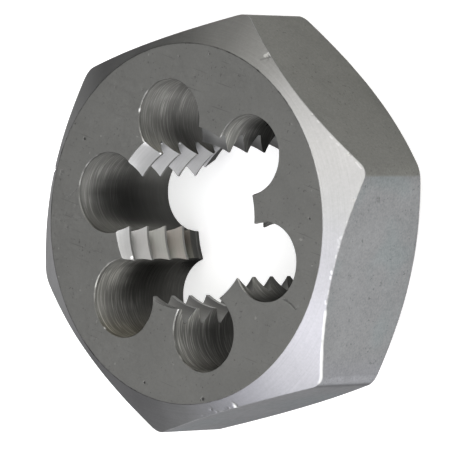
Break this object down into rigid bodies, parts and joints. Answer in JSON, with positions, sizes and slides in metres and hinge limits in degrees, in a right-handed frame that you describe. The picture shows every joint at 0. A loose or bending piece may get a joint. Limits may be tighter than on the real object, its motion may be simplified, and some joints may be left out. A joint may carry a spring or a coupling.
{
  "type": "hexagon threading die",
  "caption": "Solid hexagon die for cutting or chasing an external screw thread: threaded bore with cutting lands between round chip holes, both faces chamfered.",
  "frame": {"origin": "centre of the hexagon on the flat back face, which is the face with the lead cone and the face it lies on", "axes": "+Z out of the front face, along the thread axis; +X out of the middle of one flat; +Y towards a corner of the hexagon"},
  "size_m": [0.036, 0.041, 0.013],
  "materials": {
    "die_steel": "hardened tool steel: matte grey faces and flats, bright turned chamfers and bright ground thread flanks"
  },
  "bodies": {
    "root": {"hex_die": "die_steel"}
  },
  "joints": []
}
